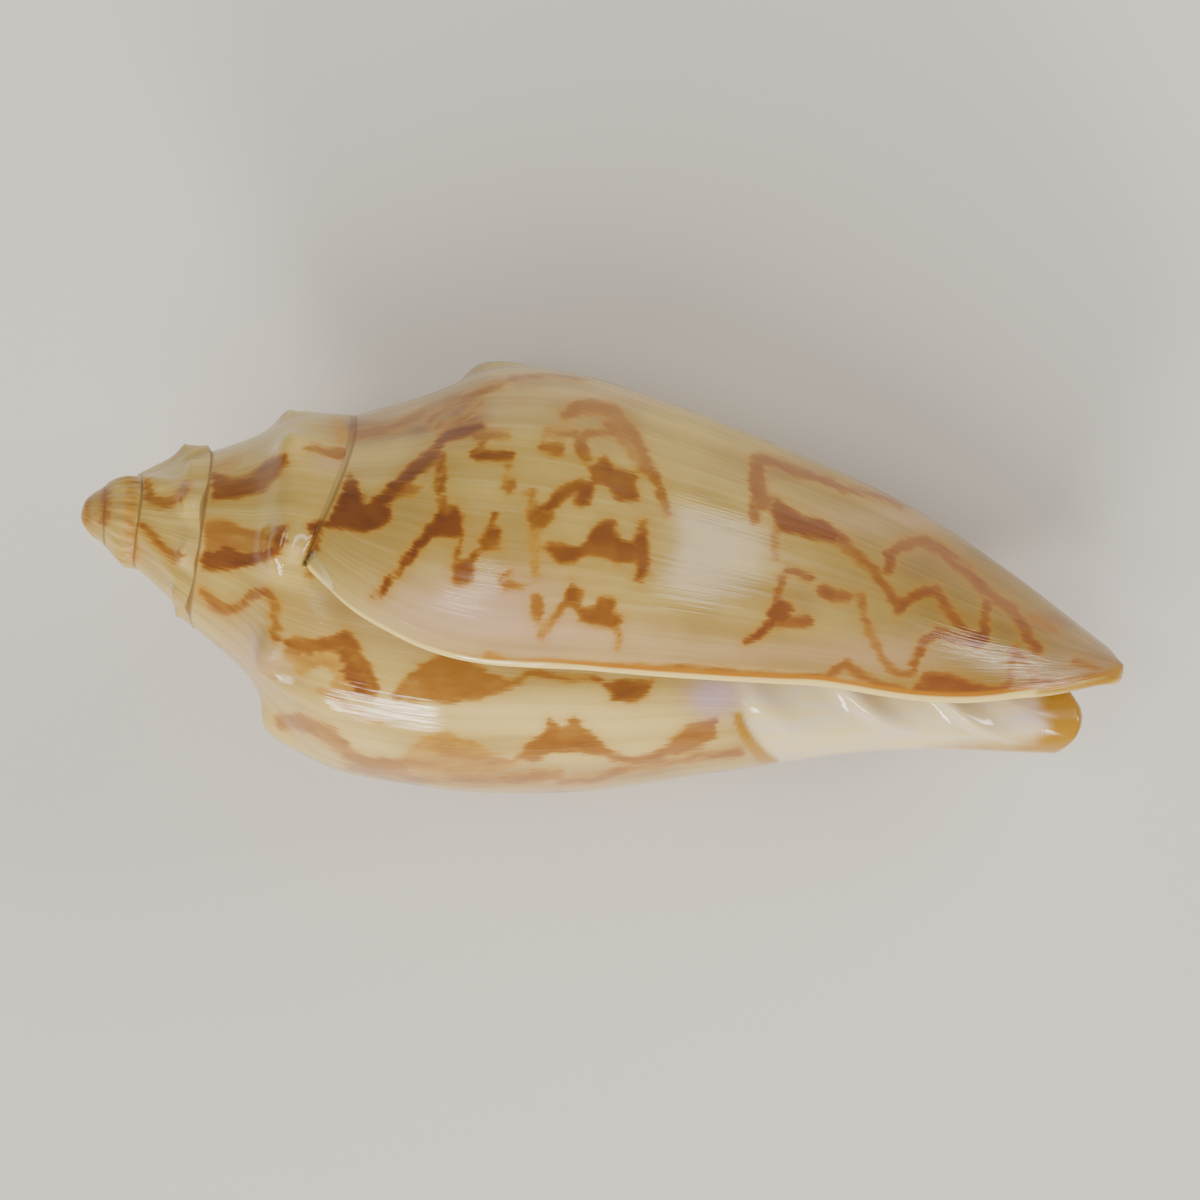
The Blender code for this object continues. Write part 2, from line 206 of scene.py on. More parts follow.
def ease(value):
    value = np.clip(value, 0.0, 1.0)
    return value * value * (3.0 - 2.0 * value)


def easeFrom(value, start, reach):
    # from nothing at the start to the full, a reach further on
    return float(ease((value - start) / reach))


def smoothLine(marks, points, places):
    # a smooth line through the points, read at many places
    marks = np.asarray(marks, float)
    points = np.asarray(points, float)
    places = np.clip(np.atleast_1d(places), marks[0], marks[-1])
    gaps = np.diff(marks)
    wide = (-1,) + (1,) * (points.ndim - 1)
    slopes = np.diff(points, axis=0) / gaps.reshape(wide)
    leans = np.empty_like(points)
    leans[0] = slopes[0]
    leans[-1] = slopes[-1]
    before = gaps[:-1].reshape(wide)
    after = gaps[1:].reshape(wide)
    leans[1:-1] = (slopes[:-1] * after + slopes[1:] * before) / (before + after)
    i = np.clip(np.searchsorted(marks, places, side="right") - 1, 0, len(gaps) - 1)
    t = ((places - marks[i]) / gaps[i]).reshape(wide)
    gap = gaps[i].reshape(wide)
    return ((1 + 2 * t) * (1 - t) ** 2 * points[i] + t * (1 - t) ** 2 * gap * leans[i]
            + t * t * (3 - 2 * t) * points[i + 1] + t * t * (t - 1) * gap * leans[i + 1])


def tableAt(table, angle):
    return smoothLine(table[:, 0], table[:, 1:], angle)[0]


def sectionAt(angle):
    # the points that one section passes through, and how far along it they stand
    ramp = tableAt(shoulderLine, angle)
    points = [tableAt(seamLine, angle), ramp[:2], ramp[2:]]
    if angle < growth["lipAngle"] + 360.0:
        points.append(tableAt(shoulderJoin, angle))
    else:
        points.append(tableAt(seamLine, angle - 360.0))
    if angle <= growth["lipAngle"] + 360.0 + growth["mouthDepth"] + growth["mouthMargin"]:
        points.extend(smoothLine(bodyLine[:, 0], bodyPoints, angle)[0])
    points = np.array(points)
    steps = np.maximum(np.linalg.norm(np.diff(points, axis=0), axis=1), leastStep)
    return points, np.concatenate(([0.0], np.cumsum(steps)))


def knobRise(angle, along, shoulder):
    if angle < knobs["heights"][0][0]:
        return np.zeros_like(along)
    offset = along - shoulder
    size = max(shoulder / knobs["fullSizeAt"], knobs["leastSize"])
    height = np.interp(angle, *zip(*knobs["heights"]))
    leaned = angle + knobs["lean"] * np.maximum(offset, 0.0)
    number = np.interp(leaned, knobs["angles"], knobs["numbers"])
    nearLip = (leaned - knobs["angles"][0]) / knobs["lastSpacing"]
    number = np.where(leaned < knobs["angles"][0], nearLip, number)
    pulse = (0.5 + 0.5 * np.cos(2.0 * math.pi * number)) ** knobs["sharpness"]
    back = knobs["backReach"] * size
    crest = np.exp(-(offset / np.where(offset < 0.0, back, knobs["crestReach"] * size)) ** 2)
    rib = np.exp(-(offset / np.where(offset < 0.0, back, knobs["ribReach"] * size)) ** 2)
    first, last = knobs["ribAngles"]
    rib = np.where(offset > 0.0, rib * (1.0 - ease((angle - first) / (last - first))), rib)
    rise = height * pulse * (knobs["ribShare"] * rib + (1.0 - knobs["ribShare"]) * crest)
    beads = 0.5 + 0.5 * math.cos(2.0 * math.pi * angle / riblets["spacing"])
    early = easeFrom(angle, riblets["start"], riblets["fade"])
    early *= 1.0 - easeFrom(angle, riblets["end"], riblets["fade"])
    return rise + riblets["height"] * early * beads * np.exp(-(offset / riblets["reach"]) ** 2)


def foldRise(angle, along):
    strength = easeFrom(angle, folds["start"], folds["full"] - folds["start"])
    rise = np.zeros_like(along)
    for place, height in zip(folds["places"], folds["heights"]):
        middle = place - folds["pitch"] * (angle - folds["angle"]) / 360.0
        rise += height * np.exp(-((along - middle) / folds["width"]) ** 2)
    deep = easeFrom(angle, folds["full"], folds["deepDegrees"])
    return strength * rise * (1.0 - folds["deepLoss"] * deep)


def outerPoints(angle, points, marks, places):
    # points of the outer surface and their outward directions, in the plane of the section
    here = smoothLine(marks, points, places)
    step = growth["slopeStep"] * marks[-1]
    run = smoothLine(marks, points, places + step) - smoothLine(marks, points, places - step)
    length = np.maximum(np.hypot(run[:, 0], run[:, 1]), leastLength)
    out = np.stack((-run[:, 1], run[:, 0]), axis=1) / length[:, None]
    rise = knobRise(angle, here[:, 0], points[2][0]) + foldRise(angle, here[:, 0])
    return here + out * rise[:, None], out


def lipSweep(angle, along):
    # the real angle of a point, with the lip edge swept to its own line
    fade = 1.0 - easeFrom(angle, growth["lipAngle"], lip["fade"])
    if fade == 0.0:
        return np.full(len(along), float(angle))
    return angle + fade * smoothLine(lip["places"], lip["turns"], along)


def growthAngles():
    # one turn's columns, close together on the side that the photograph shows
    first = growth["lipAngle"]
    bends = (first, growth["nearTo"], growth["nearFrom"], first + 360.0)
    steps = (growth["nearStep"], growth["farStep"], growth["nearStep"])
    return divide(bends, [round((end - start) / step) for start, end, step in zip(bends, bends[1:], steps)])


class Grower:
    # collects the shell's points, what is known of each, and its faces

    def __init__(self):
        self.spots = []
        self.facts = []    # angle, mm along, how far inside, mm from the seam, share of the turn's height
        self.faces = []
        self.count = 0

    def addRow(self, angle, flat, inside=0.0, seamGap=farOff, share=0.0):
        real = np.radians(lipSweep(angle, flat[:, 0]))
        spots = np.stack((flat[:, 0], -flat[:, 1] * np.cos(real), flat[:, 1] * np.sin(real)), axis=1)
        return self.addSpots(spots, angle, flat[:, 0], inside, seamGap, share)

    def addSpots(self, spots, angle, along, inside, seamGap=farOff, share=0.0):
        spots = np.atleast_2d(spots)
        number = len(spots)
        facts = np.empty((number, 5))
        for column, fact in enumerate((angle, along, inside, seamGap, share)):
            facts[:, column] = fact
        self.spots.append(spots)
        self.facts.append(facts)
        self.count += number
        return list(range(self.count - number, self.count))

    def face(self, *corners):
        ring = [c for i, c in enumerate(corners) if c != corners[i - 1]]
        if len(set(ring)) >= 3:
            self.faces.append(ring)

    def join(self, first, second):
        # faces between two rows that start and end side by side, in triangles if their counts differ
        i = 0
        j = 0
        while i < len(first) - 1 or j < len(second) - 1:
            nextFirst = (i + 1) / (len(first) - 1)
            nextSecond = (j + 1) / (len(second) - 1)
            if len(first) == len(second):
                self.face(first[i], first[i + 1], second[i + 1], second[i])
                i += 1
                j += 1
            elif j == len(second) - 1 or (i < len(first) - 1 and nextFirst <= nextSecond):
                self.face(first[i], first[i + 1], second[j])
                i += 1
            else:
                self.face(first[i], second[j + 1], second[j])
                j += 1

    def joinAll(self, rows, others):
        for row, other in zip(rows, others):
            self.join(row, other)


def bodyPlaces(start, end, rows, first=0):
    share = (np.arange(first, rows + 1) / rows) ** growth["rowCrowding"]
    return start + (end - start) * share


def growSections(turn):
    # every section, from the lip back to the tip
    sections = []
    angle = growth["lipAngle"]
    while angle < growth["lastAngle"]:
        whole, part = divmod(len(sections), len(turn))
        angle = float(turn[part] + 360.0 * whole)
        sections.append((angle, *sectionAt(angle)))
    return sections


def growRamps(grower, sections, perTurn):
    # the ramp and shoulder of every turn, from one seam to the next
    tip = grower.addSpots([seamLine[-1][1], 0.0, 0.0], growth["lastAngle"], 0.0, 0.0)[0]
    rows = []
    for i, (angle, points, marks) in enumerate(sections[:-1]):
        places = np.interp(rampPlaces, range(4), marks[:4])
        flat, out = outerPoints(angle, points, marks, places)
        flat[0] = points[0]
        gap = np.minimum(places, marks[3] - places) if i >= perTurn else places
        row = grower.addRow(angle, flat, seamGap=gap, share=rampPlaces / rampPlaces[-1])
        if i >= len(sections) - 1 - perTurn:
            row[0] = tip
        if i >= perTurn:
            row[-1] = rows[i - perTurn][0]
        rows.append(row)
    return rows + [[tip] * len(rampPlaces)]


def growBody(grower, sections, perTurn, mouthEnd, upper):
    # the body of the last turn, running on under the lip as the inner wall and the pillar
    rows = []
    for i, (angle, points, marks) in enumerate(sections[:perTurn + mouthEnd + 1]):
        under = i > perTurn
        behind = angle - 360.0 - growth["lipAngle"] if under else 0.0
        setback = growth["seamSetback"] * easeFrom(behind, 0.0, growth["lipFeather"])
        count = growth["underRows"] if under else growth["bodyRows"]
        places = bodyPlaces(marks[3] + setback, marks[-1], count)
        flat, out = outerPoints(angle, points, marks, places)
        row = grower.addRow(angle, flat, inside=easeFrom(behind, 0.0, growth["underFeather"]))
        if not under:
            row[0] = upper[i][-1]
        rows.append(row)
    return rows


def growInside(grower, sections, perTurn, mouthEnd, lower):
    # the inside face of the last turn, one wall in
    rows = []
    for i, (angle, points, marks) in enumerate(sections[:mouthEnd + 1]):
        underAngle, underPoints, underMarks = sections[i + perTurn]
        feather = easeFrom(angle, growth["lipAngle"], growth["lipFeather"])
        setback = growth["seamSetback"] * feather
        creasePlace = np.array([underMarks[3] + setback])
        crease = outerPoints(underAngle, underPoints, underMarks, creasePlace)[0][0]
        first = growth["wallStart"] * setback
        ramp = first + (marks[3] - first) * np.interp(rampPlaces, range(4), marks[:4]) / marks[3]
        places = np.concatenate((ramp, bodyPlaces(marks[3], marks[-1], growth["underRows"], 1)))
        flat, out = outerPoints(angle, points, marks, places)
        corner = 1.0 - (1.0 - feather) * (1.0 - ease(places / growth["cornerFeather"]))
        thickness = (growth["lipWall"] + (growth["wall"] - growth["lipWall"]) * feather) * corner
        thickness = np.maximum(thickness, growth["leastWall"] * (i > 0))
        flat = flat - out * thickness[:, None]
        share = (1.0 - ease(np.arange(len(places)) / (len(ramp) - 1))) ** 2
        flat = flat + (crease - flat[0]) * share[:, None]
        row = grower.addRow(angle, flat, inside=corner)
        row[0] = lower[i + perTurn][0]
        rows.append(row)
    return rows


def roundLip(grower, upper, lower, inner):
    # the lip's rim, rounded over by rows of points between its outer and inner edge
    spots = np.concatenate(grower.spots)
    along = np.concatenate(grower.facts)[:, 1]
    outerEdge = upper[0] + lower[0][1:]
    outerSpots = spots[outerEdge]
    away = outerSpots - spots[upper[1] + lower[1][1:]]
    away /= np.maximum(np.linalg.norm(away, axis=1), leastLength)[:, None]
    innerSpots = spots[inner[0]]
    innerRuns = runLength(innerSpots)
    outerRuns = runLength(outerSpots)
    facing = np.stack([np.interp(outerRuns, innerRuns, innerSpots[:, n]) for n in range(3)], axis=1)
    width = np.linalg.norm(outerSpots - facing, axis=1)
    rims = [outerEdge]
    for share in growth["rimRows"]:
        bulge = np.minimum(growth["rimRound"], growth["rimShare"] * width) * math.sin(math.pi * share)
        middle = outerSpots + (facing - outerSpots) * share + away * bulge[:, None]
        row = grower.addSpots(middle, growth["lipAngle"], along[outerEdge], 0.0)
        row[0] = outerEdge[0]
        rims.append(row)
    grower.joinAll(rims[1:], rims)
    grower.join(inner[0], rims[-1])
    return rims


def closeFront(grower, sections, lower, inner, rims):
    # the open front end: the wall's rim, then the rounded end of the pillar
    front = [row[-1] for row in lower]
    wallFront = [row[-1] for row in inner]
    frontRim = [rims[len(rims) // 2][-1]]
    spots = np.concatenate(grower.spots)
    for i in range(1, len(inner)):
        a = spots[front[i]]
        b = spots[wallFront[i]]
        bulge = min(growth["rimRound"], growth["rimShare"] * np.linalg.norm(a - b))
        middle = 0.5 * (a + b) + np.array([bulge, 0.0, 0.0])
        frontRim += grower.addSpots(middle, sections[i][0], a[0], growth["rimInside"])
    grower.join(front[:len(inner)], frontRim)
    grower.join(frontRim, wallFront)
    grower.face(rims[0][-1], rims[1][-1], frontRim[0])
    grower.face(inner[0][-1], rims[-1][-1], frontRim[0])

    spots = np.concatenate(grower.spots)
    loop = front[len(inner) - 1:] + [wallFront[-1], frontRim[-1]]
    centre = spots[loop].mean(axis=0)
    rings = [loop]
    for share in growth["pillarRings"]:
        inset = centre + (spots[loop] - centre) * share
        inset[:, 0] += (1.0 - share ** 2) * growth["pillarDome"]
        rings.append(grower.addSpots(inset, growth["pillarAngle"], inset[:, 0], growth["pillarInside"]))
    centre[0] += growth["pillarDome"]
    middle = grower.addSpots(centre, growth["pillarAngle"], centre[0], growth["pillarInside"])
    rings = [ring + ring[:1] for ring in rings + [middle * len(loop)]]
    grower.joinAll(rings, rings[1:])


def growShell():
    grower = Grower()
    turn = growthAngles()
    perTurn = len(turn)
    sections = growSections(turn)
    mouthEnd = int(np.searchsorted(turn, growth["lipAngle"] + growth["mouthDepth"]))
    upper = growRamps(grower, sections, perTurn)
    lower = growBody(grower, sections, perTurn, mouthEnd, upper)
    inner = growInside(grower, sections, perTurn, mouthEnd, lower)
    grower.joinAll(upper, upper[1:])
    grower.joinAll(lower, lower[1:])
    grower.joinAll(inner[1:], inner)
    rims = roundLip(grower, upper, lower, inner)
    grower.join(lower[-1], inner[-1])   # the blind end of the mouth, deep inside
    closeFront(grower, sections, lower, inner, rims)
    print("points grown:", grower.count)
    return grower


def runLength(spots):
    steps = np.linalg.norm(np.diff(spots, axis=0), axis=1)
    total = np.concatenate(([0.0], np.cumsum(steps)))
    return total / total[-1]


grower = growShell()
shellSpots = np.concatenate(grower.spots)
shellFacts = np.concatenate(grower.facts)

# Points that a shared edge made needless are left out.
used = np.unique(np.array([c for face in grower.faces for c in face]))
renumber = np.full(len(shellSpots), -1)
renumber[used] = np.arange(len(used))
shellSpots = shellSpots[used]
shellFacts = shellFacts[used]
shellFaces = [[int(renumber[c]) for c in face] for face in grower.faces]

# Lie it on the table as the solid lies: the box centred, the lowest point on the ground.
resting = shellSpots @ restTurn.T
low = resting.min(axis=0)
high = resting.max(axis=0)
restShift = np.array([(low[0] + high[0]) / 2, (low[1] + high[1]) / 2, low[2]])


def shellToWorld(spots):
    # from the shell's millimetres to metres on the table
    return (np.asarray(spots) @ restTurn.T - restShift) / 1000.0


def makeShellMesh():
    mesh = bpy.data.meshes.new("voluteShell")
    mesh.from_pydata(shellToWorld(shellSpots).tolist(), [], shellFaces)
    print("shell mesh:", len(shellFaces), "faces,", sum(len(f) - 2 for f in shellFaces), "triangles")
    work = bmesh.new()
    work.from_mesh(mesh)
    bmesh.ops.recalc_face_normals(work, faces=work.faces[:])
    work.to_mesh(mesh)
    work.free()
    mesh.shade_smooth()
    shell = addObject("voluteShell", mesh)
    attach(shell, "root")
    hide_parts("shell")
    return shell


shell = makeShellMesh()


# Brown markings on the side that the photograph shows, drawn as pen strokes and filled
# patches, in pixels of the photograph. A stroke is its pen's width at the start and at the end, its
# tone from light to dark, and its path. A patch is its tone and outline. Points are x, y, x, y.
bodyStrokes = dict(
    bigArrow=(11, 8, 0.8, (364, 514, 380, 503, 400, 483, 418, 466, 434, 453, 440, 440, 455, 433,
        480, 428)),
    arrowTail=(9, 7, 0.5, (440, 455, 440, 485, 442, 500, 448, 512)),
    secondTail=(9, 4, 0.9, (438, 524, 426, 536, 414, 551, 400, 568, 388, 582, 378, 595)),
    dropLine=(5, 4, 0.7, (458, 535, 459, 565)),
    faintBar=(5, 5, 0.3, (478, 434, 508, 435)),
    shoulderBar=(10, 8, 0.7, (478, 455, 510, 455)),
    barLink=(4, 4, 0.4, (480, 430, 480, 458)),
    thinDrop=(5, 5, 0.5, (494, 515, 494, 532)),
    thinTail=(5, 3, 0.6, (484, 545, 474, 553, 470, 565)),
    archTop=(11, 13, 0.35, (565, 415, 580, 407, 600, 408, 615, 412, 625, 425, 635, 440, 641, 452,
        646, 466)),
    archEnd=(7, 3, 0.4, (650, 466, 658, 484, 664, 500, 667, 514)),
    topDash=(6, 6, 0.3, (547, 433, 576, 433)),
    topDashLeft=(6, 12, 0.4, (541, 447, 558, 450)),
    topDashMiddle=(8, 10, 0.4, (580, 443, 586, 458)),
    topDashRight=(5, 5, 0.3, (586, 434, 622, 433)),
    crossSlope=(9, 12, 0.6, (532, 517, 550, 505, 562, 494, 576, 487, 590, 489, 580, 500)),
    faintPost=(6, 5, 0.25, (532, 495, 533, 530, 536, 575)),
    forkLow=(5, 3, 0.4, (565, 603, 553, 618, 546, 630, 541, 636)),
    forkRight=(4, 2, 0.3, (617, 626, 618, 650)),
    smallPost=(10, 8, 0.4, (536, 600, 538, 616)),
    thinPost=(3, 6, 0.3, (509, 462, 509, 484)),
    smallDot=(6, 6, 0.3, (540, 627, 542, 635)),
    sideDot=(6, 5, 0.3, (500, 577, 508, 574)),
    sideDash=(7, 4, 0.35, (506, 585, 524, 588)),
    backPost=(12, 17, 0.45, (758, 462, 757, 478, 760, 492, 763, 502)),
    backPostFoot=(6, 5, 0.3, (755, 500, 754, 522)),
    backTop=(9, 3, 0.35, (756, 459, 780, 463, 800, 472, 830, 482, 860, 492, 890, 500, 902, 507)),
    backDrop=(3, 3, 0.3, (775, 525, 776, 555)),
    backRun=(8, 5, 0.35, (836, 537, 848, 548, 860, 558, 875, 572, 889, 590, 900, 612)),
    eyeTop=(5, 4, 0.5, (788, 571, 800, 574, 810, 578)),
    eyeSide=(3, 5, 0.4, (783, 577, 778, 590, 775, 602)),
    eyeFoot=(9, 8, 0.4, (776, 622, 808, 622)),
    eyeTail=(6, 3, 0.8, (768, 625, 758, 635, 746, 642)),
    dotLeft=(10, 8, 0.5, (824, 590, 833, 595)),
    dotRight=(7, 6, 0.4, (838, 596, 849, 597)),
    frontArch=(8, 8, 0.45, (888, 569, 890, 555, 905, 545, 925, 541, 940, 548, 955, 562, 970, 575,
        985, 592, 1000, 600, 1010, 608, 1022, 622, 1030, 640, 1037, 650)),
    innerArch=(6, 7, 0.5, (898, 612, 905, 602, 920, 594, 935, 590, 945, 604, 955, 618, 965, 630,
        976, 643)),
    archPost=(6, 5, 0.5, (984, 634, 986, 602)),
    lowArch=(5, 6, 0.5, (912, 670, 918, 655, 925, 641, 936, 633, 950, 636, 966, 641)),
    crossRun=(4, 5, 0.25, (860, 595, 865, 620, 873, 640, 880, 655, 890, 668, 900, 675, 912, 672)),
    endPost=(5, 5, 0.4, (1017, 648, 1012, 664, 1011, 680)),
    endSlope=(4, 4, 0.4, (1019, 656, 1028, 668, 1036, 682)),
    endDash=(4, 4, 0.2, (1030, 618, 1055, 628)),
    tipDash=(4, 4, 0.2, (1075, 661, 1096, 669)),
    shoulderShade=(3, 3, 0.25, (440, 411, 457, 404, 480, 392, 497, 386)),
    shoulderCrest=(3, 3, 0.3, (510, 379, 535, 375, 560, 374, 585, 378)),
    lipLine=(4, 6, 0.3, (540, 668, 600, 668, 660, 668, 700, 669, 740, 673, 790, 678, 825, 679,
        846, 664, 860, 675, 877, 683, 905, 690)),
    lipLineEnd=(5, 4, 0.4, (1005, 692, 1030, 686, 1080, 682, 1112, 673)),
    shoulderVeil=(7, 5, 0.35, (357, 434, 395, 427, 425, 411, 450, 399, 475, 394, 500, 384)),
    veilBranch=(8, 4, 0.35, (428, 416, 440, 428, 462, 420, 480, 404)),
    lipDot=(5, 4, 0.2, (486, 657, 500, 659)),
    seamEdge=(6, 5, 0.5, (321, 524, 316, 540, 312, 556, 309, 568)),
)
bodyPatches = dict(
    arrowFoot=(0.85, (350, 474, 358, 490, 363, 503, 370, 510, 377, 504, 389, 503, 390, 519,
        380, 528, 365, 530, 344, 527, 326, 525, 336, 508, 345, 490)),
    arrowLedge=(0.35, (398, 483, 415, 482, 419, 492, 403, 495)),
    tailKnot=(0.9, (441, 511, 458, 508, 462, 522, 461, 539, 448, 536, 434, 538, 430, 531)),
    dropKnot=(0.6, (452, 562, 461, 558, 472, 566, 470, 583, 454, 583)),
    smallSpot=(0.35, (503, 478, 515, 480, 513, 493, 505, 491)),
    postKnot=(0.6, (486, 530, 498, 530, 499, 548, 474, 552, 482, 541)),
    archFill=(0.25, (608, 414, 628, 422, 640, 440, 648, 464, 638, 470, 630, 454, 618, 440,
        604, 426)),
    upperBlock=(0.55, (590, 466, 605, 457, 613, 469, 635, 473, 638, 500, 620, 499, 606, 486,
        594, 483)),
    slopeKnot=(0.5, (527, 512, 541, 508, 554, 514, 545, 526, 530, 524)),
    longBlock=(0.65, (546, 545, 560, 543, 577, 549, 586, 539, 592, 529, 602, 522, 613, 523,
        620, 540, 635, 544, 639, 524, 646, 520, 648, 545, 650, 562, 645, 580, 638, 580, 636, 560,
        616, 563, 600, 555, 586, 555, 571, 562, 560, 560, 549, 554)),
    forkTop=(0.55, (572, 582, 581, 590, 581, 604, 565, 603)),
    lowBlock=(0.55, (574, 601, 581, 610, 597, 607, 600, 600, 612, 600, 613, 610, 621, 618, 617, 628,
        600, 624, 582, 622)),
    backWedge=(0.7, (771, 497, 784, 504, 800, 515, 830, 526, 850, 542, 830, 541, 800, 534, 778, 529,
        773, 514)),
    eyeBlock=(0.7, (771, 604, 782, 601, 791, 606, 788, 624, 770, 626)),
    archKnot=(0.8, (966, 632, 978, 633, 987, 631, 985, 645, 975, 648, 966, 641)),
    lipPatch=(0.55, (912, 690, 925, 675, 950, 674, 975, 683, 1000, 688, 1012, 680, 1006, 697,
        960, 699, 925, 697)),
)
spireStrokes = dict(
    bellyEdge=(13, 14, 0.55, (293, 644, 312, 648, 330, 645, 345, 638, 352, 650, 362, 668,
        371, 688)),
    tentLeft=(8, 10, 0.35, (398, 696, 410, 682, 425, 669, 441, 660, 458, 661)),
    tentRight=(3, 3, 0.4, (528, 673, 560, 677, 600, 680)),
    lowLineLeft=(14, 10, 0.3, (284, 722, 298, 722, 318, 729, 335, 740, 350, 756, 372, 765,
        402, 766)),
    lowTent=(4, 5, 0.15, (402, 762, 412, 753, 425, 741, 446, 736, 470, 745, 492, 758, 512, 764)),
    lowLineRight=(5, 5, 0.3, (560, 782, 600, 778, 630, 768, 665, 763, 700, 757, 740, 752)),
    lowBand=(8, 8, 0.25, (350, 770, 420, 779, 490, 781, 560, 775)),
    goldSlope=(5, 4, 0.1, (322, 690, 345, 705, 380, 722)),
    archBelly=(4, 6, 0.4, (600, 748, 614, 757, 632, 761, 652, 759, 668, 751)),
    callusEdge=(4, 5, 0.1, (740, 722, 745, 735, 755, 748, 763, 761)),
    spireTop=(6, 6, 0.05, (215, 467, 236, 461)),
    seamRun=(7, 6, 0.45, (203, 592, 215, 605, 226, 611, 240, 607, 250, 596, 266, 591, 275, 602,
        276, 638)),
    firstHook=(7, 7, 0.4, (147, 484, 150, 499, 165, 504, 178, 498, 185, 486)),
    secondHook=(4, 7, 0.5, (143, 526, 152, 535, 163, 548, 176, 557)),
    earlyPost=(8, 8, 0.1, (133, 482, 130, 520, 133, 557)),
    shoulderBar=(3, 8, 0.4, (308, 447, 325, 452, 352, 454)),
    upperFaint=(7, 5, 0.0, (336, 416, 344, 440)),
    knobSide=(5, 5, 0.4, (318, 532, 312, 546, 312, 560, 309, 575)),
    knobTop=(7, 5, 0.9, (312, 531, 322, 523, 336, 511)),
    tipBand=(7, 7, 0.4, (106, 492, 105, 520)),
    tipCap=(4, 4, 0.3, (88, 492, 87, 520)),
)
spirePatches = dict(
    bellyGold=(0.12, (284, 652, 303, 656, 318, 652, 345, 655, 356, 690, 332, 690, 338, 672,
        322, 664, 300, 672)),
    bellyKnot=(0.7, (336, 650, 352, 648, 372, 684, 371, 698, 352, 690, 338, 678)),
    bellyTent=(0.35, (425, 669, 441, 656, 462, 657, 476, 665, 492, 675, 511, 680, 531, 672,
        520, 683, 500, 692, 480, 698, 452, 700, 412, 700, 398, 697, 412, 684)),
    mouthSide=(0.55, (604, 684, 652, 681, 648, 692, 633, 702, 616, 699)),
    archLeft=(0.45, (517, 757, 530, 745, 545, 736, 549, 722, 561, 728, 575, 718, 587, 732, 600, 740,
        614, 757, 596, 753, 575, 750, 553, 752, 534, 760)),
    lowTentFill=(0.1, (400, 764, 414, 751, 446, 737, 470, 745, 492, 758, 510, 768, 470, 773,
        430, 772)),
    bellyDrop=(0.35, (664, 751, 675, 738, 690, 726, 716, 719, 713, 736, 696, 749, 676, 756)),
    spireDark=(0.6, (213, 472, 226, 478, 246, 478, 258, 472, 268, 460, 286, 455, 286, 463, 276, 478,
        262, 490, 241, 496, 214, 499)),
    seamFill=(0.3, (206, 521, 225, 521, 240, 527, 258, 533, 274, 532, 272, 550, 240, 560,
        205, 562)),
    seamDark=(0.8, (206, 521, 222, 525, 235, 535, 248, 548, 260, 552, 270, 543, 276, 530, 286, 525,
        283, 542, 278, 554, 268, 560, 250, 564, 226, 569, 204, 568, 203, 553, 211, 540)),
)

# Soft places in the same pixels: the glazed callus, and the golden rims as strokes.
callusPatch = (
    735, 672, 741, 700, 741, 722, 746, 736, 755, 748, 764, 762, 800, 780, 1110, 780, 1110, 660,
    800, 665)
goldenStrokes = dict(
    frontEnd=(3, 52, (930, 754, 960, 752, 985, 754, 1010, 758, 1040, 756, 1064, 742, 1072, 724,
        1066, 700)),
    callusRim=(7, 13, (738, 716, 742, 728, 750, 742, 762, 756, 772, 764)),
    lipEnd=(4, 12, (1040, 692, 1080, 687, 1108, 680, 1118, 673)),
)
# soft spots of colour: centre, reach across, reach up and down, strength
softSpots = dict(
    blush=(
        (440, 608, 75, 30, 0.7), (540, 632, 110, 22, 0.6), (505, 590, 60, 25, 0.5),
        (700, 655, 160, 16, 0.45), (1085, 665, 45, 30, 0.3), (430, 415, 60, 14, 0.5),
        (250, 660, 45, 28, 0.55), (480, 790, 190, 14, 0.2), (900, 520, 120, 14, 0.35),
        (225, 545, 26, 18, 0.5), (330, 460, 20, 12, 0.6), (620, 395, 120, 12, 0.35),
        (880, 660, 60, 20, 0.35)),
    # thin brown veils over the markings
    veil=(
        (466, 416, 20, 20, 1.0), (452, 422, 16, 12, 0.6), (405, 427, 48, 11, 0.9),
        (362, 437, 22, 10, 0.7), (350, 425, 26, 9, 0.5), (98, 506, 14, 24, 0.45),
        (520, 384, 60, 6, 0.5), (590, 415, 34, 14, 0.4), (622, 420, 22, 20, 0.4),
        (985, 560, 30, 14, 0.3), (1048, 622, 28, 10, 0.8), (790, 472, 40, 9, 0.45),
        (800, 600, 22, 22, 0.4), (1095, 660, 22, 12, 0.35), (925, 560, 26, 16, 0.3),
        (500, 774, 70, 8, 0.6), (640, 772, 60, 8, 0.5), (455, 755, 40, 10, 0.45),
        (380, 718, 40, 8, 0.3)),
    # lilac in the mouth; the last spot, in the hollow at the front end, is painted shade
    lilac=(
        (714, 697, 22, 17, 0.85), (860, 700, 50, 18, 0.2), (765, 695, 28, 12, 0.25),
        (1034, 716, 30, 14, 1.0)),
    # the belly under the lip made paler, partly its own cream and partly painted light where it is lit; the
    # small spots are painted highlights on the knob tips
    cream=(
        (520, 712, 170, 22, 0.9), (620, 735, 110, 30, 0.6), (360, 735, 60, 40, 0.5),
        (560, 765, 150, 16, 0.4), (294, 552, 8, 9, 0.9), (300, 447, 14, 7, 0.7),
        (184, 556, 9, 9, 0.7), (193, 503, 7, 5, 0.7)),
)


def gapTo(x, y, start, end):
    # how far each pixel lies from a straight line, and how far along it the nearest point is
    run = end - start
    share = np.clip(((x - start[0]) * run[0] + (y - start[1]) * run[1]) / (run @ run), 0.0, 1.0)
    return np.hypot(x - start[0] - share * run[0], y - start[1] - share * run[1]), share


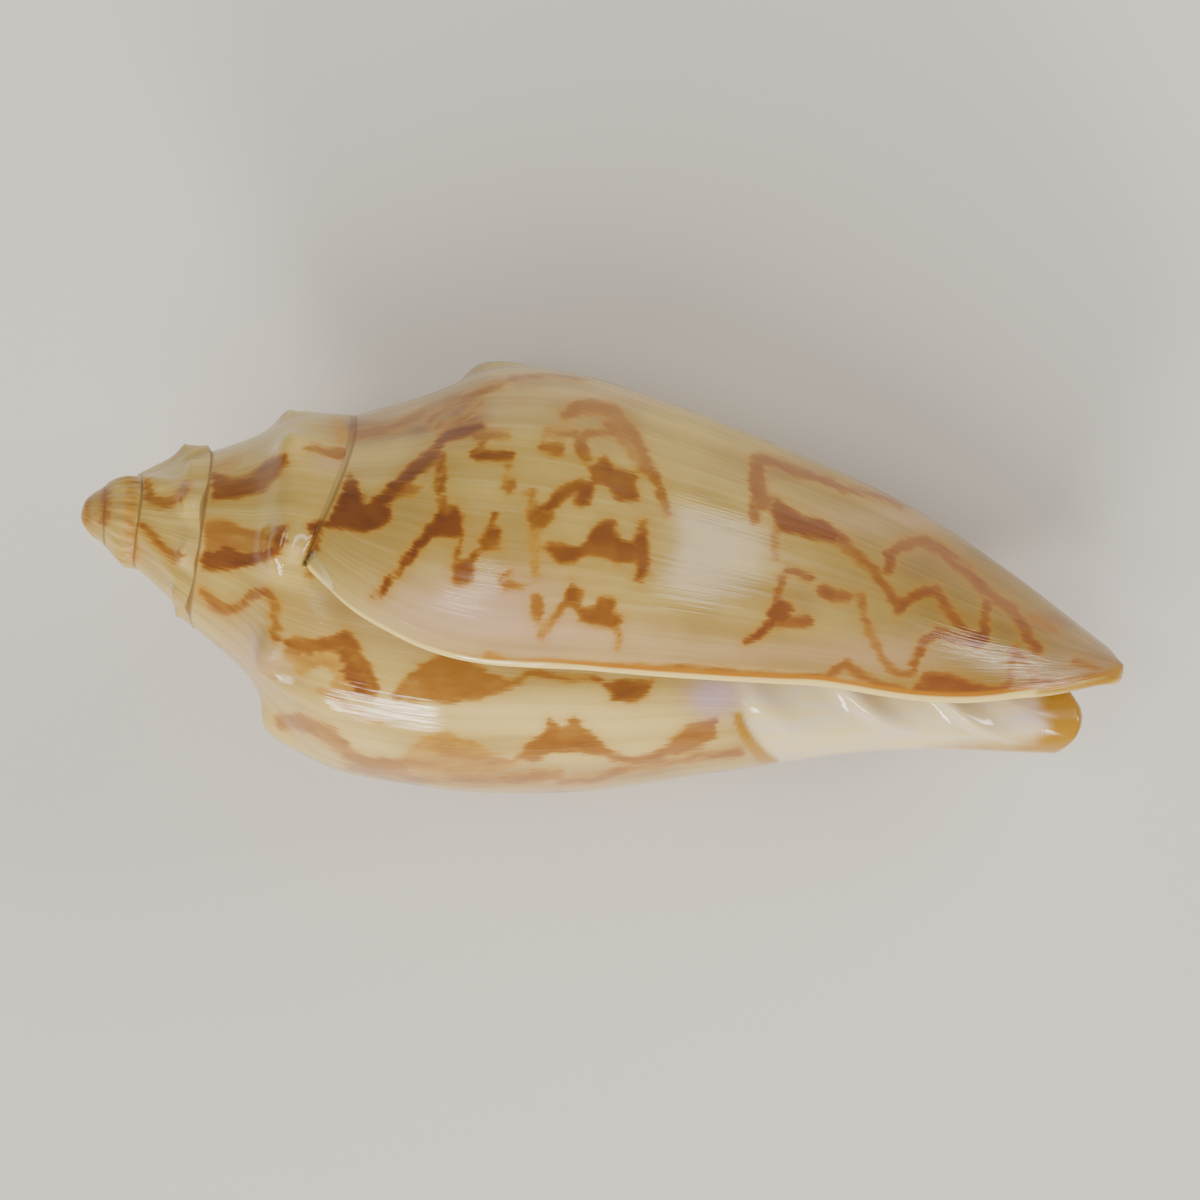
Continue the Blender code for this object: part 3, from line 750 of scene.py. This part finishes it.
def strokeDepth(x, y, penStart, penEnd, points):
    # how far inside a pen stroke each pixel lies, and below nothing outside it
    path = np.reshape(points, (-1, 2)).astype(float)
    widths = np.linspace(penStart, penEnd, len(path))
    depth = np.full(len(x), -farOff)
    for start, end, wide, wideEnd in zip(path[:-1], path[1:], widths[:-1], widths[1:]):
        gap, share = gapTo(x, y, start, end)
        depth = np.maximum(depth, (wide + (wideEnd - wide) * share) / 2 - gap)
    return depth


def patchDepth(x, y, points):
    # the same for a closed patch
    path = np.reshape(points, (-1, 2)).astype(float)
    nearest = np.full(len(x), farOff)
    inside = np.zeros(len(x), bool)
    for start, end in zip(path, np.roll(path, -1, axis=0)):
        nearest = np.minimum(nearest, gapTo(x, y, start, end)[0])
        if start[1] != end[1]:
            crossing = start[0] + (y - start[1]) / (end[1] - start[1]) * (end[0] - start[0])
            inside ^= ((start[1] > y) != (end[1] > y)) & (x < crossing)
    return np.where(inside, nearest, -nearest)


def drawMarks(x, y, strokes, patches):
    depth = np.full(len(x), -markEdge["reach"])
    tone = np.zeros(len(x))
    for *pen, shade, points in list(strokes.values()) + list(patches.values()):
        reach = markEdge["reach"]
        near = (x > min(points[::2]) - reach) & (x < max(points[::2]) + reach)
        near &= (y > min(points[1::2]) - reach) & (y < max(points[1::2]) + reach)
        if pen:
            here = strokeDepth(x[near], y[near], *pen, points)
        else:
            here = patchDepth(x[near], y[near], points)
        deeper = here > depth[near]
        tone[near] = np.where(deeper, shade, tone[near])
        depth[near] = np.maximum(here, depth[near])
    return depth, tone


def spotShare(x, y, name):
    total = np.zeros(len(x))
    for left, top, across, tall, strength in softSpots[name]:
        total += strength * np.exp(-((x - left) / across) ** 2 - ((y - top) / tall) ** 2)
    return np.clip(total, 0.0, 1.0)


def wander(a, b, seed):
    # a smooth random line or field, the same on each run
    return np.array([noise.noise(Vector((p, q, seed))) for p, q in zip(a, b)])


# how the drawn edges stray from the pen: reach, waves to a mm along, waves to a degree, seed
markEdge = dict(
    reach=20.0,                          # pixels looked at round a mark
    across=((3.0, 0.9, 0.35, 1.0), (2.0, 0.3, 1.1, 2.0)),
    upright=((2.0, 0.6, 0.15, 5.0),),
    ragged=(0.14, 1.1, 0.45, 9.0),       # mm
    raggedFrom=-1.0,                     # mm outside the edge
)
# Tented markings for the side that the photograph doesn't show, made in the same manner.
farMarks = dict(
    # middle and swing along the axis in mm, tent width in degrees, line width in mm, tone
    tents=(
        (30.0, 4.0, 31.0, 1.6, 0.6),
        (40.0, 7.5, 26.0, 1.7, 0.7),
        (47.0, 5.0, 22.0, 1.3, 0.5),
        (64.0, 7.0, 27.0, 1.8, 0.6),
        (71.0, 4.5, 19.0, 1.1, 0.4),
    ),
    outside=-3.0,          # mm, where no line is near
    driftWaves=0.02,       # to a degree
    rippleWaves=(0.06, 0.05),   # to a degree and to a mm
    seeds=(3.0, 11.0, 31.0),
    swing=(0.8, 0.5),      # at least, and what the ripple adds
    width=(0.55, 0.9),
    toneRipple=0.5,
    slope=0.55,            # a slanting line is narrower than its width along the axis
    offset=0.37,           # of a tent, from one line to the next
    frontLoss=2.0,         # mm off the lines near the front end
)
spireTents = dict(
    start=352.0,           # degrees
    middle=0.5,            # middle, swing and width are shares of a turn's height
    swing=0.3,
    width=0.2,
    degrees=52.0,
    slope=0.7,
    tone=0.6,
    heights=((360, 540, 720, 1080), (8.0, 5.5, 3.5, 1.2)),   # degrees, mm
)
# where a share sets in, and over how much more it grows to the full
fades = dict(
    seen=(0.02, 0.2),            # how squarely the surface faces the lens
    pillarTurn=(232.0, 40.0),    # degrees
    pillarFront=(48.0, 6.0),     # mm along the axis
    callus=(-10.4, 26.0),        # pixels inside the drawn edge
    deepInside=(0.0, 0.5),
    frontEnd=(-12.0, 20.0),
    callusRim=(-3.6, 6.0),
    lipEnd=(-6.0, 10.0),
    rimFacing=(0.0, 0.3),
    farRim=(83.5, 3.0),          # mm along the axis, as the two below
    farBlush=(72.0, 16.0),
    farFront=(70.0, 12.0),
)
paint = dict(
    layerAngle=180.0,      # drawn marks nearer the lip are the body's, the others the belly's and spire's
    insideFrom=0.5,        # how far inside counts as in the mouth
    farBlush=0.5,
)


def fadeIn(value, name):
    start, reach = fades[name]
    return ease((value - start) / reach)


def tent(turns):
    return 2.0 * np.abs(2.0 * (turns - np.floor(turns)) - 1.0) - 1.0


def drawFarMarks(angle, along, share):
    depth = np.full(len(angle), farMarks["outside"])
    tone = np.zeros(len(angle))
    perDegree, perMm = farMarks["rippleWaves"]
    driftSeed, rippleSeed, spireSeed = farMarks["seeds"]
    for number, (middle, swing, wide, width, shade) in enumerate(farMarks["tents"]):
        drift = wander(angle * farMarks["driftWaves"], along * 0.0, driftSeed + number)
        ripple = wander(angle * perDegree, along * perMm, rippleSeed + number)
        least, more = farMarks["swing"]
        wave = tent(angle / wide + drift + farMarks["offset"] * number)
        line = middle + swing * (least + more * ripple) * wave
        least, more = farMarks["width"]
        here = width * (least + more * ripple) - np.abs(along - line) * farMarks["slope"]
        tone = np.where(here > depth, shade + farMarks["toneRipple"] * ripple, tone)
        depth = np.maximum(depth, here)
    depth -= farMarks["frontLoss"] * fadeIn(along, "farFront")
    early = angle >= spireTents["start"]
    drift = wander(angle * farMarks["driftWaves"], along * 0.0, spireSeed)
    wave = spireTents["swing"] * tent(angle / spireTents["degrees"] + drift)
    gap = np.abs(share - spireTents["middle"] - wave) * spireTents["slope"]
    spire = (spireTents["width"] / 2 - gap) * np.interp(angle, *spireTents["heights"])
    return np.where(early, spire, depth), np.where(early, spireTents["tone"], tone)


def paintShell(shell):
    mesh = shell.data
    angle, along, inside, seamGap, share = shellFacts.T
    count = len(mesh.vertices)
    normals = np.empty(count * 3)
    mesh.vertices.foreach_get("normal", normals)
    facing = normals.reshape(-1, 3) @ (restTurn @ np.array([0.0, -1.0, 0.0]))
    seen = fadeIn(facing, "seen")
    squarely = fadeIn(facing, "rimFacing")
    x, y = shellToPixel(shellSpots)
    body = angle < paint["layerAngle"]
    inMouth = inside > paint["insideFrom"]
    onBody = body & (inside < paint["insideFrom"])

    # the drawn markings, with their edges strayed, and the made ones beyond them
    def stray(reach, perMm, perDegree, seed):
        return reach * wander(along * perMm, angle * perDegree, seed)

    warpX = x + sum(stray(*wave) for wave in markEdge["across"])
    warpY = y + sum(stray(*wave) for wave in markEdge["upright"])
    depth = np.empty(count)
    tone = np.empty(count)
    for layer, strokes, patches in ((body, bodyStrokes, bodyPatches), (~body, spireStrokes, spirePatches)):
        depth[layer], tone[layer] = drawMarks(warpX[layer], warpY[layer], strokes, patches)
    depth *= photo["mmPerPixel"]
    depth += np.where(depth > markEdge["raggedFrom"], stray(*markEdge["ragged"]), 0.0)
    farDepth, farTone = drawFarMarks(angle, along, share)
    depth = depth * seen + farDepth * (1.0 - seen)
    tone = tone * seen + farTone * (1.0 - seen)

    # the callus and the golden rims
    pillar = fadeIn(angle, "pillarTurn") * fadeIn(along, "pillarFront")
    callus = fadeIn(patchDepth(x, y, callusPatch), "callus") * pillar
    golds = {name: fadeIn(strokeDepth(x, y, *stroke), name) for name, stroke in goldenStrokes.items()}
    rim = np.maximum(golds["frontEnd"] * squarely, fadeIn(along, "farRim") * (1.0 - squarely))
    rim = np.maximum(rim, golds["callusRim"] * seen) * pillar * (~body)
    blush = spotShare(x, y, "blush") * seen
    radius = np.hypot(shellSpots[:, 1], shellSpots[:, 2])
    layers = dict(
        growAngle=angle,
        along=along,
        inside=inside,
        seamGap=seamGap,
        lipGap=np.where(onBody, np.radians(angle - growth["lipAngle"]) * radius, farOff),
        markDepth=depth,
        markTone=tone,
        glazeShare=np.maximum(callus, fadeIn(inside, "deepInside")),
        goldShare=np.maximum(rim, golds["lipEnd"] * onBody),
        blushShare=np.maximum(blush, paint["farBlush"] * fadeIn(along, "farBlush") * (1.0 - seen)),
        # lilac, with painted shade in the hollow at the front end
        lilacAndShadeShare=spotShare(x, y, "lilac") * (~body | inMouth),
        veilShare=spotShare(x, y, "veil") * seen,
        # the paler belly, partly painted light, and painted highlights on the knob tips
        creamAndLightShare=spotShare(x, y, "cream") * (~body),
    )
    for name, values in layers.items():
        layer = mesh.attributes.new(name, "FLOAT", "POINT")
        layer.data.foreach_set("value", values.astype(np.float32))
    print("painted:", ", ".join(layers))
    return list(layers)


painted = paintShell(shell)


def addCamera():
    # at the photograph's angle
    data = bpy.data.cameras.new("photoCamera")
    camera = addObject("photoCamera", data)
    width = photo["size"] * photo["mmPerPixel"]
    data.sensor_width = photo["sensor"]
    data.lens = photo["sensor"] * photo["distance"] / width
    place = pictureCentre - np.array([0.0, photo["distance"], 0.0])
    turn = restTurn @ np.stack((pictureRight, pictureUp, np.cross(pictureRight, pictureUp)), axis=1)
    camera.matrix_world = Matrix.Translation(shellToWorld(place)) @ Matrix(turn.tolist()).to_4x4()
    data.clip_start, data.clip_end = photo["clipping"]
    bpy.context.scene.camera = camera


addCamera()

# a seamless pale floor, a pale room light and soft boxes, in metres
studio = dict(
    floorSize=6.0,
    floorColour="E4E2DE",
    floorRoughness=0.9,
    roomColour="F2F1EF",
    roomStrength=0.4,
    # direction from the shell, distance, size, degrees turned, watts, what it lights
    softBoxes=(
        ((0.46, 0.71, 0.52), 0.9, (0.40, 0.40), 0, 2.6, "colour"),     # fills the back of the body
        ((0.42, 0.72, 0.55), 0.9, (0.10, 0.85), 27, 1.9, "gloss"),     # the streaked shine on the body
        ((0.03, -0.88, 0.46), 0.9, (0.34, 0.11), 0, 5.0, "both"),      # the shine on the belly's rib
        ((-0.20, -0.70, 0.90), 1.1, (0.90, 0.90), 0, 8.2, "colour"),   # soft light from in front
        ((-0.21, 0.08, 0.97), 1.0, (0.30, 0.20), 0, 1.4, "colour"),    # fills the top
        ((-0.21, 0.08, 0.97), 1.0, (0.34, 0.20), 0, 3.6, "gloss"),     # the pale streaks above the lip
        ((0.77, 0.40, 0.48), 0.9, (0.16, 0.16), 0, 1.8, "both"),       # the glints on the folds
    ),
    lampColour="FFF6E8",
)


def hexToLinear(text):
    parts = [int(text[i:i + 2], 16) / 255.0 for i in (0, 2, 4)]
    linear = [c / 12.92 if c <= 0.04045 else ((c + 0.055) / 1.055) ** 2.4 for c in parts]
    return (*linear, 1.0)


outlets = dict(ShaderNodeMix=2, ShaderNodeAttribute=2)   # the output in use, where it isn't the first


def addNode(tree, kind, values, **settings):
    # adds a node with its settings; each value is a node to link, a hex colour or a plain value
    node = tree.nodes.new(kind)
    for name, value in settings.items():
        setattr(node, name, value)
    for socket, value in values.items():
        if isinstance(value, bpy.types.Node):
            tree.links.new(value.outputs[outlets.get(value.bl_idname, 0)], node.inputs[socket])
        else:
            node.inputs[socket].default_value = hexToLinear(value) if isinstance(value, str) else value
    return node


def addStudio():
    half = studio["floorSize"] / 2
    mesh = bpy.data.meshes.new("floor")
    corners = [(-half, -half, 0), (half, -half, 0), (half, half, 0), (-half, half, 0)]
    mesh.from_pydata(corners, [], [(0, 1, 2, 3)])
    floor = addObject("floor", mesh)
    paper = bpy.data.materials.new("mattPaperSweep")
    paper.use_nodes = True
    shader = paper.node_tree.nodes["Principled BSDF"]
    shader.inputs["Base Color"].default_value = hexToLinear(studio["floorColour"])
    shader.inputs["Roughness"].default_value = studio["floorRoughness"]
    mesh.materials.append(paper)
    world = bpy.data.worlds.new("paleRoom")
    world.use_nodes = True
    background = world.node_tree.nodes["Background"]
    background.inputs["Color"].default_value = hexToLinear(studio["roomColour"])
    background.inputs["Strength"].default_value = studio["roomStrength"]
    bpy.context.scene.world = world
    for number, (direction, distance, size, turned, watts, use) in enumerate(studio["softBoxes"]):
        data = bpy.data.lights.new(f"softBox{number}", "AREA")
        data.shape = "RECTANGLE"
        data.size, data.size_y = size
        data.energy = watts
        data.color = hexToLinear(studio["lampColour"])[:3]
        light = addObject(f"softBox{number}", data)
        light.visible_glossy = use != "colour"
        light.visible_diffuse = use != "gloss"
        light.location = Vector(direction).normalized() * distance
        aim = Vector(direction).to_track_quat("Z", "Y") @ Quaternion((0, 0, 1), math.radians(turned))
        light.rotation_euler = aim.to_euler()


addStudio()


# Porcelaneous aragonite shell, laid down in thin growth layers and naturally glazed by the animal.
# It is glossy, a little waxy under the gloss, with fine growth lines along the axis that break
# every highlight into streaks, and jagged brown markings under the glaze.
glaze = dict(
    ior=1.56,              # aragonite, across its crystals about 1.53 to 1.68
    roughness=(0.05, 0.15),
    bumpDepth=0.0001,      # metres
    waxiness=0.12,
    waxReach=(0.8, 0.5, 0.3),
    waxDepth=0.002,        # metres
    # noise drawn out along the growth lines: times per degree of growth (0.3 mm at the body),
    # times per millimetre along the axis, octaves and roughness
    grains=dict(
        fine=(0.7, 0.04, 3.0, 0.65),
        broad=(0.16, 0.02, 3.0, 0.5),
        clouds=(0.03, 0.09, 3.0, 0.5),
        jag=(0.55, 0.45, 3.0, 0.6),
        comb=(2.2, 0.5, 2.0, 0.5),
        mottle=(0.16, 0.3, 3.0, 0.5),
        pearlClouds=(0.09, 0.2, 2.0, 0.5),
    ),
    colours=dict(
        # the pale belly cream below is partly painted light, and also gives the painted highlights on the
        # knob tips
        cream="D3B966", tan="AC8E46", pale="DECB98", bellyCream="EED488",
        # the front end's darker tan below is painted shade
        frontTan="84642E", blush="D6B094", veil="7F5138", markGold="C08C24",
        markOrange="9E661A", markBrown="7E4412", markDark="632C0E", markRed="84482C",
        lipLine="BC7C16", lipEdge="F6DC86", callus="EADBB8", callusCream="EEDAA0",
        # the lilac below also paints the shade in the front end's hollow
        deep="EEDCBE", lilac="CCB0BE", golden="B0821E", seam="7E501A",
    ),
)


def makeShellMaterial():
    material = bpy.data.materials.new("glazedAragoniteShell")
    material.use_nodes = True
    tree = material.node_tree
    shader = tree.nodes["Principled BSDF"]

    # what paintShell left on the mesh
    made = {name: addNode(tree, "ShaderNodeAttribute", {}, attribute_name=name) for name in painted}
    grid = addNode(tree, "ShaderNodeCombineXYZ", {0: made["growAngle"], 1: made["along"]})
    for name, (perDegree, perMm, detail, roughness) in glaze["grains"].items():
        place = addNode(tree, "ShaderNodeVectorMath", {0: grid, 1: (perDegree, perMm, 0.0)},
                        operation="MULTIPLY")
        made[name] = addNode(tree, "ShaderNodeTexNoise", {"Vector": place, "Scale": 1.0, "Detail": detail,
                                                          "Roughness": roughness}, noise_dimensions="2D")

    # sums and smooth ramps: the result, the operation, then what goes in; a word is an earlier result,
    # and a ramp runs from its first number to its second, and gives 0 to 1 or the last two numbers
    steps = (
        # cream and tan growth bands, paler lines, and the soft colours over them
        ("bands", "MULTIPLY", "clouds", 0.5),
        ("bands", "MULTIPLY_ADD", "broad", 0.35, "bands"),
        ("bands", "MULTIPLY_ADD", "fine", 0.15, "bands"),
        ("bands", "RAMP", "bands", 0.28, 0.70),
        ("paleLines", "RAMP", "fine", 0.5, 0.8, 0.0, 0.22),
        ("streaked", "RAMP", "broad", 0.2, 0.7, 0.6, 1.0),
        # the pale belly cream, partly painted light, with painted highlights on the knob tips
        ("creamAndLightCoat", "MULTIPLY", "creamAndLightShare", "streaked"),
        # painted shade: the skin darkens to a tan towards the front end
        ("frontShadeCoat", "RAMP", "along", 44.0, 86.0, 0.0, 0.8),
        ("blushCoat", "MULTIPLY", "blushShare", "streaked"),
        ("mottled", "RAMP", "mottle", 0.2, 0.6, 0.5, 1.0),
        ("veilCoat", "MULTIPLY", "veilShare", "mottled"),
        # brown markings with jagged edges that follow the growth lines
        ("depth", "MULTIPLY_ADD", "jag", 0.65, -0.5),
        ("depth", "MULTIPLY_ADD", "comb", 0.35, "depth"),
        ("depth", "ADD", "depth", "markDepth"),
        ("mask", "RAMP", "depth", -0.44, -0.08),
        ("core", "RAMP", "depth", -0.35, 0.25, 0.25, 1.0),
        ("dark", "ADD", "markTone", 0.12),
        ("dark", "MULTIPLY", "dark", "core"),
        ("dark", "MULTIPLY_ADD", "mottle", 0.6, "dark"),
        ("dark", "SUBTRACT", "dark", 0.3),
        ("orange", "RAMP", "dark", 0.05, 0.45),
        ("brown", "RAMP", "dark", 0.45, 0.85),
        ("darkest", "RAMP", "dark", 0.85, 1.2),
        ("frontRed", "RAMP", "along", 48.0, 62.0, 0.0, 0.4),
        ("haloTone", "MULTIPLY_ADD", "markTone", 0.25, 0.12),
        ("halo", "RAMP", "depth", -1.3, -0.2),
        ("halo", "MULTIPLY", "halo", "haloTone"),
        ("cover", "RAMP", "dark", -0.1, 0.6, 0.60, 0.95),
        ("cover", "MULTIPLY", "cover", "mask"),
        # the lip, in millimetres: a cream edge with an orange line beside it
        ("lipGap", "MULTIPLY_ADD", "clouds", 0.4, "lipGap"),
        ("lipLineCoat", "RAMP", "lipGap", 1.05, 0.65),
        ("lowerLip", "RAMP", "along", 30.0, 46.0, 0.0, 0.9),
        ("lipLineCoat", "MULTIPLY", "lipLineCoat", "lowerLip"),
        ("lipEdgeCoat", "RAMP", "lipGap", 0.55, 0.30),
        # the glazed callus, the inside of the mouth and the seam
        ("pearly", "RAMP", "pearlClouds", 0.35, 0.65),
        ("deepShare", "RAMP", "inside", 0.3, 1.0),
        # lilac over the glaze, partly painted shade in the front hollow
        ("lilacAndShadeOver", "MULTIPLY", "lilacAndShadeShare", 0.6),
        ("seamGap", "MULTIPLY_ADD", "clouds", 0.10, "seamGap"),
        ("seamCoat", "RAMP", "seamGap", 0.30, 0.08, 0.0, 0.55),
        # gloss and relief
        ("gloss", "MULTIPLY", "clouds", 0.4),
        ("gloss", "MULTIPLY_ADD", "fine", 0.6, "gloss"),
        ("gloss", "RAMP", "gloss", 0.3, 0.7, *glaze["roughness"]),
        ("height", "MULTIPLY", "fine", 0.35),
        ("height", "MULTIPLY_ADD", "broad", 0.65, "height"),
        ("soften", "MULTIPLY_ADD", "glazeShare", -0.85, 1.0),
        ("height", "MULTIPLY", "height", "soften"),
    )
    for name, operation, *parts in steps:
        values = {n: made[part] if isinstance(part, str) else part for n, part in enumerate(parts)}
        if operation == "RAMP":
            made[name] = addNode(tree, "ShaderNodeMapRange", values, interpolation_type="SMOOTHSTEP")
        else:
            made[name] = addNode(tree, "ShaderNodeMath", values, operation=operation)

    # coats of colour: the result, the share of the upper one, then the lower and the upper colour
    coats = (
        ("skin", "bands", "tan", "cream"),
        ("skin", "paleLines", "skin", "pale"),
        # painted shade towards the front end
        ("skin", "frontShadeCoat", "skin", "frontTan"),
        # pale belly cream, partly painted light, and painted knob highlights
        ("skin", "creamAndLightCoat", "skin", "bellyCream"),
        ("skin", "blushCoat", "skin", "blush"),
        ("skin", "veilCoat", "skin", "veil"),
        ("mark", "orange", "markGold", "markOrange"),
        ("mark", "brown", "mark", "markBrown"),
        ("mark", "darkest", "mark", "markDark"),
        ("mark", "frontRed", "mark", "markRed"),
        ("skin", "halo", "skin", "markGold"),
        ("skin", "cover", "skin", "mark"),
        ("skin", "lipLineCoat", "skin", "lipLine"),
        ("skin", "lipEdgeCoat", "skin", "lipEdge"),
        ("pearl", "pearly", "callus", "callusCream"),
        ("pearl", "deepShare", "pearl", "deep"),
        # lilac, partly painted shade in the front hollow
        ("skin", "lilacAndShadeShare", "skin", "lilac"),
        ("skin", "glazeShare", "skin", "pearl"),
        # lilac over the glaze, partly painted shade in the front hollow
        ("skin", "lilacAndShadeOver", "skin", "lilac"),
        ("skin", "goldShare", "skin", "golden"),
        ("skin", "seamCoat", "skin", "seam"),
    )
    for name, share, under, over in coats:
        colours = [glaze["colours"].get(word) or made[word] for word in (under, over)]
        made[name] = addNode(tree, "ShaderNodeMix", {0: made[share], 6: colours[0], 7: colours[1]},
                             data_type="RGBA", clamp_factor=True)

    relief = addNode(tree, "ShaderNodeBump", {"Strength": 1.0, "Distance": glaze["bumpDepth"],
                                              "Height": made["height"]})
    tree.links.new(made["skin"].outputs[outlets["ShaderNodeMix"]], shader.inputs["Base Color"])
    tree.links.new(made["gloss"].outputs[0], shader.inputs["Roughness"])
    tree.links.new(relief.outputs[0], shader.inputs["Normal"])
    shader.inputs["IOR"].default_value = glaze["ior"]
    shader.inputs["Subsurface Weight"].default_value = glaze["waxiness"]
    shader.inputs["Subsurface Radius"].default_value = glaze["waxReach"]
    shader.inputs["Subsurface Scale"].default_value = glaze["waxDepth"]
    return material


shell.data.materials.append(makeShellMaterial())
print("material made")
